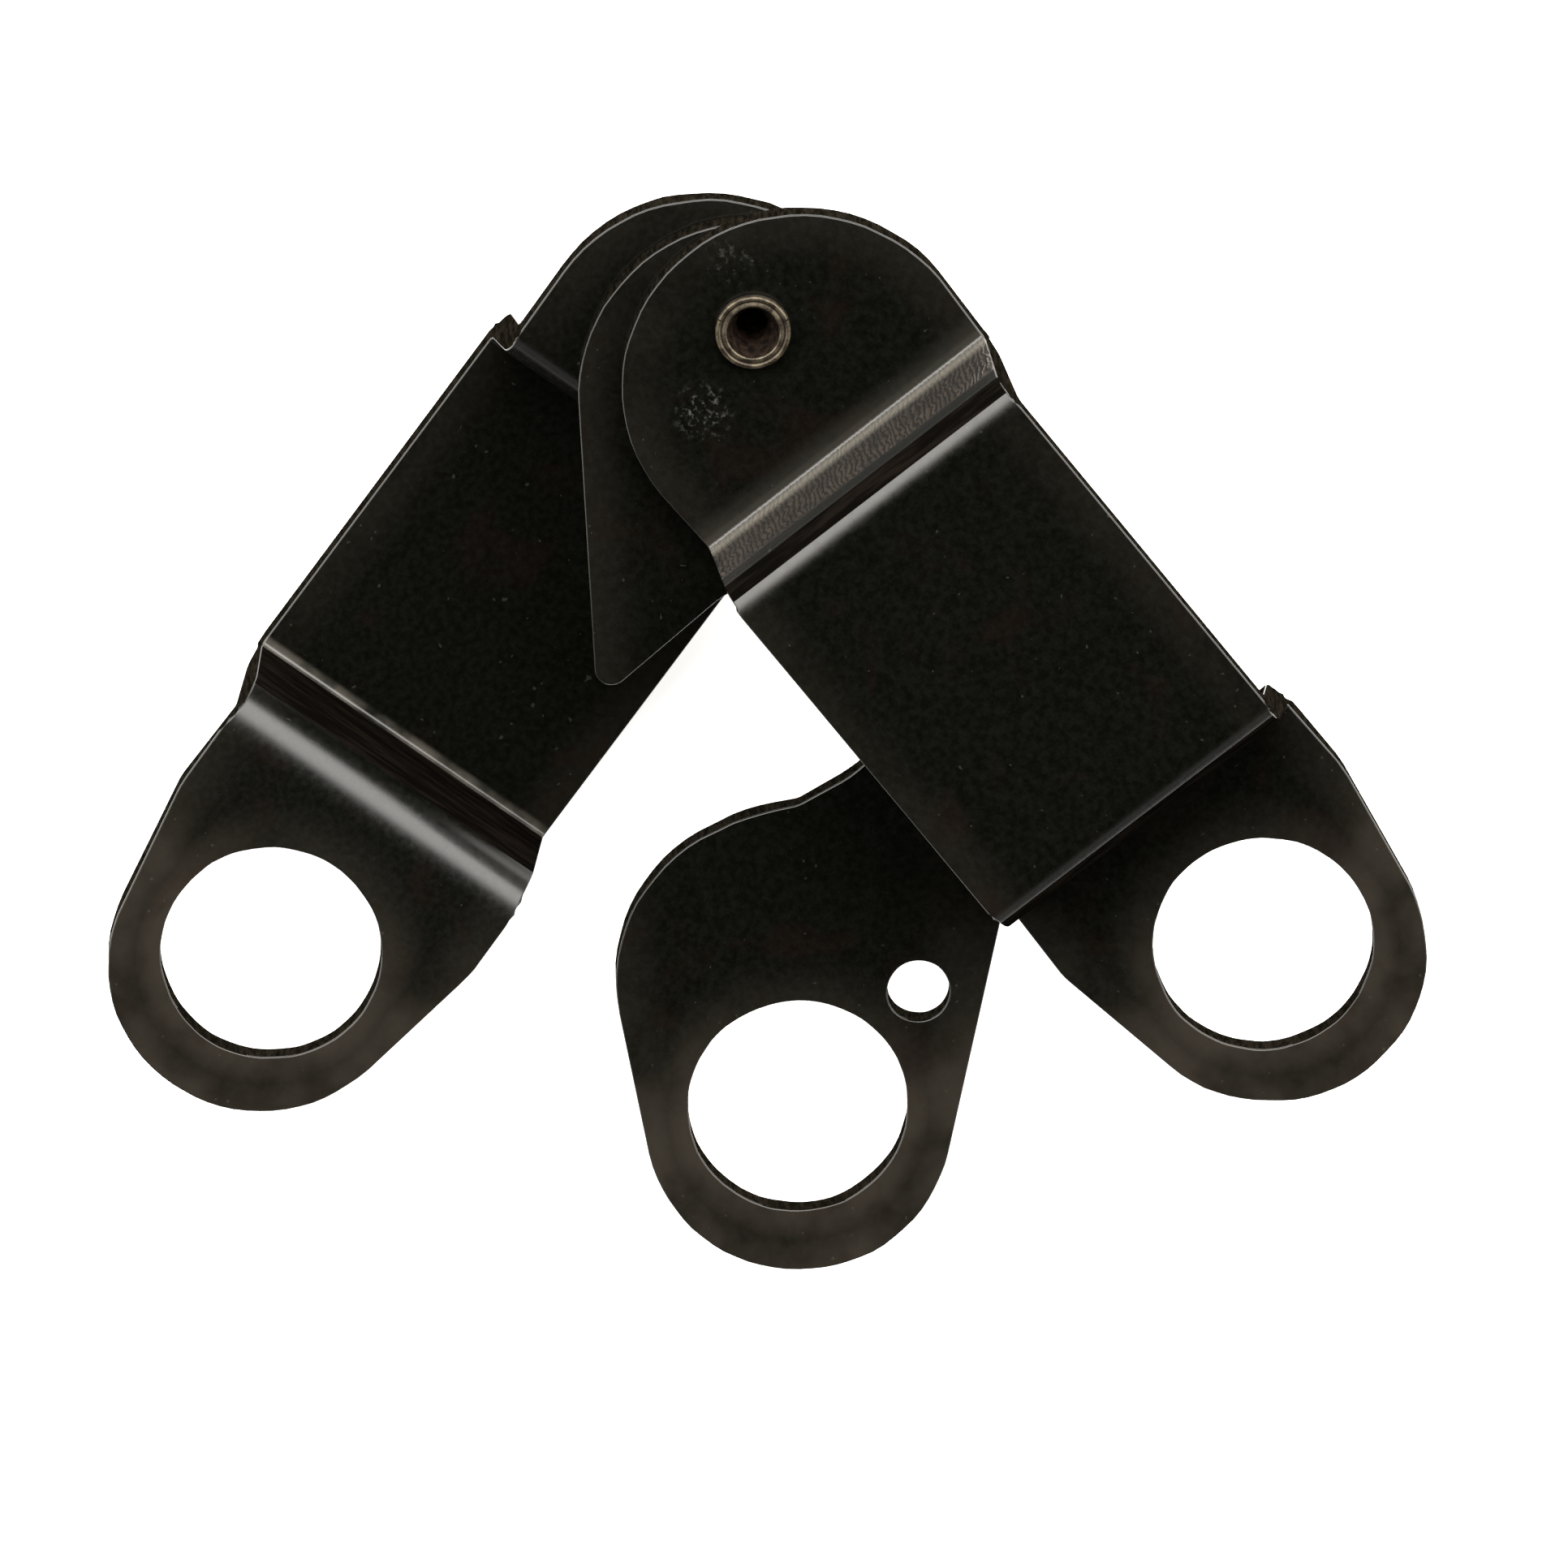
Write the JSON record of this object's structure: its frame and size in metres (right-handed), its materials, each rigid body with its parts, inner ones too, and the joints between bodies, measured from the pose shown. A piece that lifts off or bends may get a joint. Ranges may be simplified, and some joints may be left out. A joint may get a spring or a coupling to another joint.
{
  "type": "casement window stay",
  "caption": "Folding stay of pressed steel levers on a hollow rivet, each lever ending in a bored eye, the middle lever with a hooked beak",
  "frame": {"origin": "on the rivet's axis, on the flat back of its head", "axes": "+Z along the rivet from its head to its rolled rim, square to the levers; +X and +Y in the levers' plane, with the eyes towards -Y and the front lever's eye towards +X; +X is the longest extent and +Z the shortest"},
  "size_m": [0.0949, 0.0799, 0.0242],
  "materials": {
    "black_steel_front": "black oxide on rolled steel sheet, satin, worn to bare grey steel along the first bend and the edges",
    "black_steel_hook": "black oxide on rolled steel sheet, satin, browner towards the edges",
    "black_steel_rear": "black oxide on rolled steel sheet, satin, thin bright lines on bends and edges",
    "rivet_steel": "bare steel rolled rim, dulled grey-brown, dark inside the mouth"
  },
  "bodies": {
    "rear_lever": {"rear_lever": "black_steel_rear", "pivot_rivet": "rivet_steel"},
    "hook_lever": {"hook_lever": "black_steel_hook"},
    "front_lever": {"front_lever": "black_steel_front"}
  },
  "joints": [
    {"name": "hook_swing", "type": "hinge", "parent": "rear_lever", "child": "hook_lever", "pos_m": [0, 0, 0.00485], "axis": [0, 0, 1], "continuous": true},
    {"name": "front_swing", "type": "hinge", "parent": "rear_lever", "child": "front_lever", "pos_m": [0, 0, 0.00725], "axis": [0, 0, 1], "continuous": true}
  ]
}
